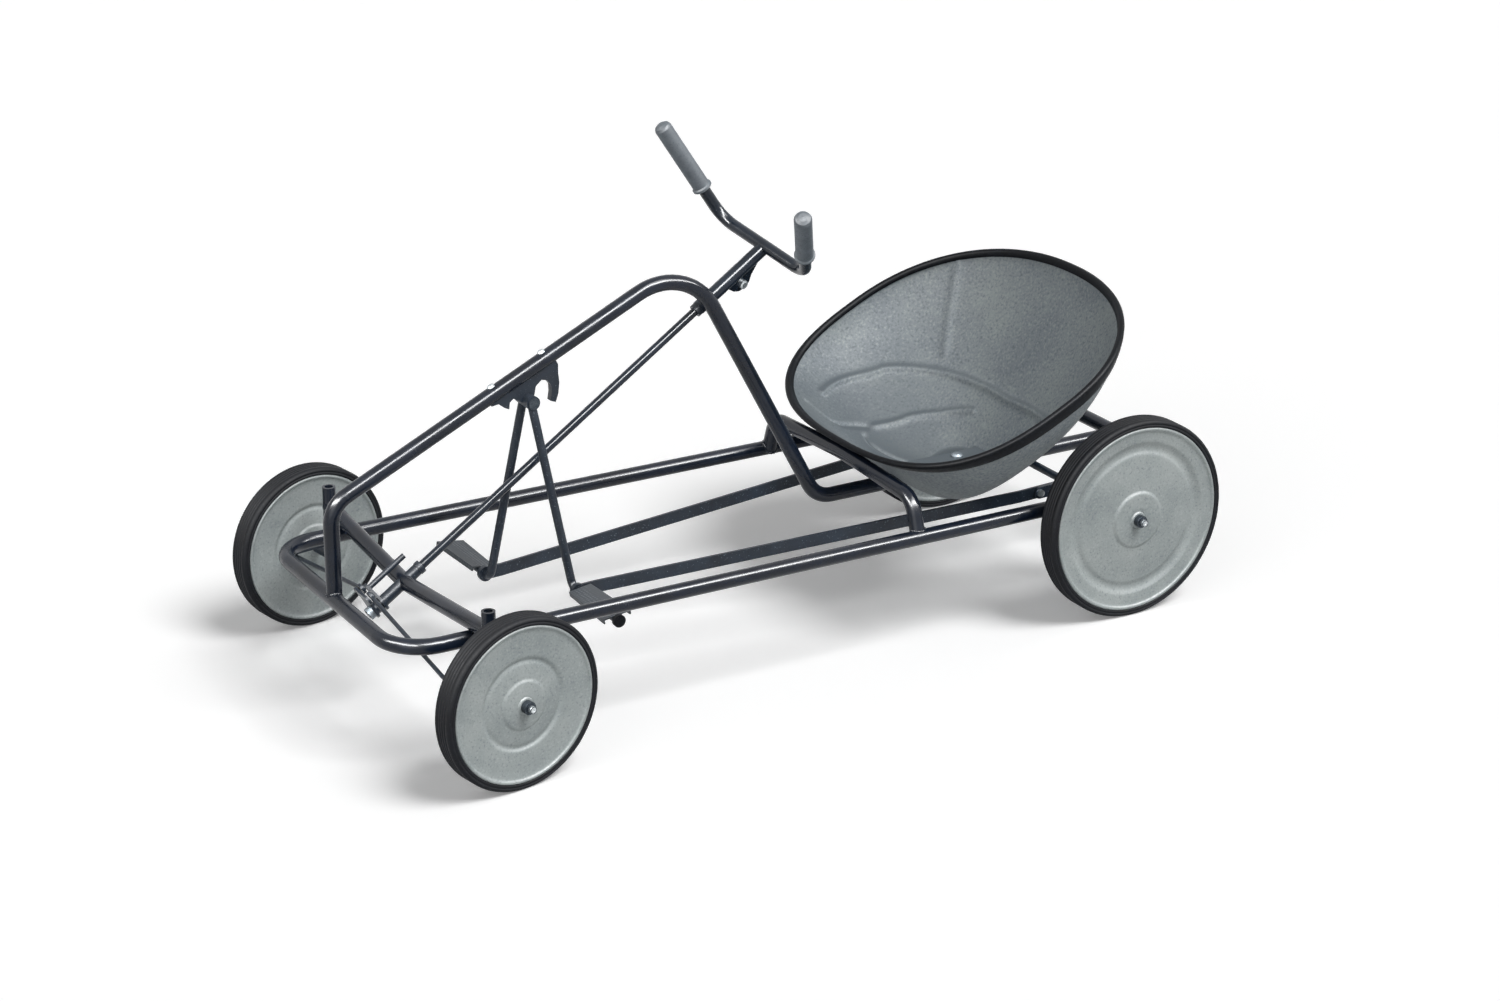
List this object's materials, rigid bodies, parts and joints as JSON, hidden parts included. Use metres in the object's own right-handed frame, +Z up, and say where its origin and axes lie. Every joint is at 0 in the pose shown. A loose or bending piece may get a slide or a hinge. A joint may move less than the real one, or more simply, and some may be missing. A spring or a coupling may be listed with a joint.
{
  "type": "pedal kart chassis",
  "caption": "Child's pedal kart: bent-tube frame on disc wheels with a bucket seat, handlebar steering linkage and swinging pedals that drive a cranked rear axle.",
  "frame": {"origin": "middle of the footprint, on the ground", "axes": "+X forwards, the longest way; +Y to the driver's left; +Z up"},
  "size_m": [1.3314, 0.6996, 0.7252],
  "materials": {
    "bright_steel": "bright plated fastener",
    "bush": "plain bearing bush",
    "cap": "black rubber cap",
    "column_steel": "dark enamel on round bar, highlights",
    "disc": "pressed steel disc, pale grey paint, light speckle",
    "frame_paint": "dark blue-black gloss enamel on steel tube",
    "grip": "mid-grey ribless rubber grip",
    "linkage_paint": "dark enamel on flat and round steel, satin",
    "seat": "moulded glass-fibre, pale grey, fine speckle",
    "seat_edging": "dark soft edging, satin",
    "tread": "dark pressed pedal tread",
    "tyre": "solid black rubber, slightly worn"
  },
  "bodies": {
    "root": {"base_loop": "frame_paint", "spine_tube": "frame_paint", "front_beam": "frame_paint", "kingpin_tubes": "frame_paint", "seat_arch": "frame_paint", "axle_hangers": "frame_paint", "axle_bushes": "bush", "column_sleeve": "frame_paint", "column_plate": "frame_paint", "column_brace": "frame_paint", "column_guide": "frame_paint", "pedal_hanger": "frame_paint", "pedal_pivot_pin": "bright_steel", "pedal_hanger_bolts": "bright_steel", "seat_shell": "seat", "seat_edging": "seat_edging", "seat_saddle": "cap", "seat_bolt": "bright_steel", "seat_wing_nut": "bright_steel"},
    "steering_column": {"column_rod": "column_steel", "stem_tube": "column_steel", "stem_bolt": "bright_steel", "handlebar": "column_steel", "grip_left": "grip", "grip_right": "grip", "column_crank": "column_steel", "column_collars": "column_steel", "column_nut": "bright_steel"},
    "knuckle_left": {"knuckle_left": "linkage_paint", "front_nut_left": "bright_steel"},
    "track_rod_left": {"track_rod_left": "linkage_paint"},
    "wheel_front_left": {"tyre_front_left": "tyre", "discs_front_left": "disc", "hub_front_left": "disc"},
    "pedal_lever_left": {"pedal_lever_left": "linkage_paint", "pedal_tread_left": "tread", "pedal_cap_left": "cap"},
    "push_rod_left": {"push_rod_left": "linkage_paint", "crank_strap_left": "linkage_paint", "crank_strap_bolts_left": "bright_steel", "crank_bush_left": "bush"},
    "knuckle_right": {"knuckle_right": "linkage_paint", "front_nut_right": "bright_steel"},
    "track_rod_right": {"track_rod_right": "linkage_paint"},
    "wheel_front_right": {"tyre_front_right": "tyre", "discs_front_right": "disc", "hub_front_right": "disc"},
    "pedal_lever_right": {"pedal_lever_right": "linkage_paint", "pedal_tread_right": "tread", "pedal_cap_right": "cap"},
    "push_rod_right": {"push_rod_right": "linkage_paint", "crank_strap_right": "linkage_paint", "crank_strap_bolts_right": "bright_steel", "crank_bush_right": "bush"},
    "rear_axle": {"crank_axle": "linkage_paint", "rear_nuts": "bright_steel", "tyre_rear_left": "tyre", "tyre_rear_right": "tyre", "discs_rear": "disc", "hubs_rear": "disc"}
  },
  "joints": [
    {"name": "steering", "type": "hinge", "parent": "root", "child": "steering_column", "pos_m": [0.58761, 0, 0.1408], "axis": [-0.8357, -0.0327, 0.5481], "range_deg": [-49.7, 18.3]},
    {"name": "steer_left", "type": "hinge", "parent": "root", "child": "knuckle_left", "pos_m": [0.53631, 0.255, 0.197], "axis": [0, 0, 1], "range_deg": [-29.82, 10.98]},
    {"name": "track_rod_left", "type": "hinge", "parent": "knuckle_left", "child": "track_rod_left", "pos_m": [0.59491, 0.26472, 0.143], "axis": [0, 0, 1], "range_deg": [-10.98, 29.82]},
    {"name": "wheel_front_left_spin", "type": "hinge", "parent": "knuckle_left", "child": "wheel_front_left", "pos_m": [0.52649, 0.31419, 0.1192], "axis": [-0.1637, 0.9865, 0], "continuous": true},
    {"name": "steer_right", "type": "hinge", "parent": "root", "child": "knuckle_right", "pos_m": [0.53631, -0.255, 0.197], "axis": [0, 0, 1], "range_deg": [-29.82, 10.98]},
    {"name": "track_rod_right", "type": "hinge", "parent": "knuckle_right", "child": "track_rod_right", "pos_m": [0.59491, -0.24528, 0.143], "axis": [0, 0, 1], "range_deg": [-10.98, 29.82]},
    {"name": "wheel_front_right_spin", "type": "hinge", "parent": "knuckle_right", "child": "wheel_front_right", "pos_m": [0.54613, -0.31419, 0.1192], "axis": [-0.1637, 0.9865, 0], "continuous": true},
    {"name": "pedal_left", "type": "hinge", "parent": "root", "child": "pedal_lever_left", "pos_m": [0.34731, 0.0123, 0.40199], "axis": [0, -1, 0], "range_deg": [0, 17.6]},
    {"name": "pedal_right", "type": "hinge", "parent": "root", "child": "pedal_lever_right", "pos_m": [0.34731, -0.0123, 0.40199], "axis": [0, -1, 0], "range_deg": [-17.6, 0]},
    {"name": "push_rod_left", "type": "hinge", "parent": "pedal_lever_left", "child": "push_rod_left", "pos_m": [0.3057, 0.06, 0.1332], "axis": [0, -1, 0], "range_deg": [-17.6, 0]},
    {"name": "push_rod_right", "type": "hinge", "parent": "pedal_lever_right", "child": "push_rod_right", "pos_m": [0.38892, -0.06, 0.1332], "axis": [0, -1, 0], "range_deg": [0, 17.6]},
    {"name": "rear_axle_spin", "type": "hinge", "parent": "root", "child": "rear_axle", "pos_m": [-0.49769, 0.2088, 0.15], "axis": [0, 1, 0], "continuous": true}
  ],
  "couplings": [
    {"joint": "steer_left", "follows": "steering", "ratio": 0.6},
    {"joint": "track_rod_left", "follows": "steering", "ratio": -0.6},
    {"joint": "steer_right", "follows": "steering", "ratio": 0.6},
    {"joint": "track_rod_right", "follows": "steering", "ratio": -0.6},
    {"joint": "pedal_right", "follows": "pedal_left", "ratio": -1},
    {"joint": "push_rod_left", "follows": "pedal_left", "ratio": -1},
    {"joint": "push_rod_right", "follows": "pedal_left", "ratio": 1}
  ]
}
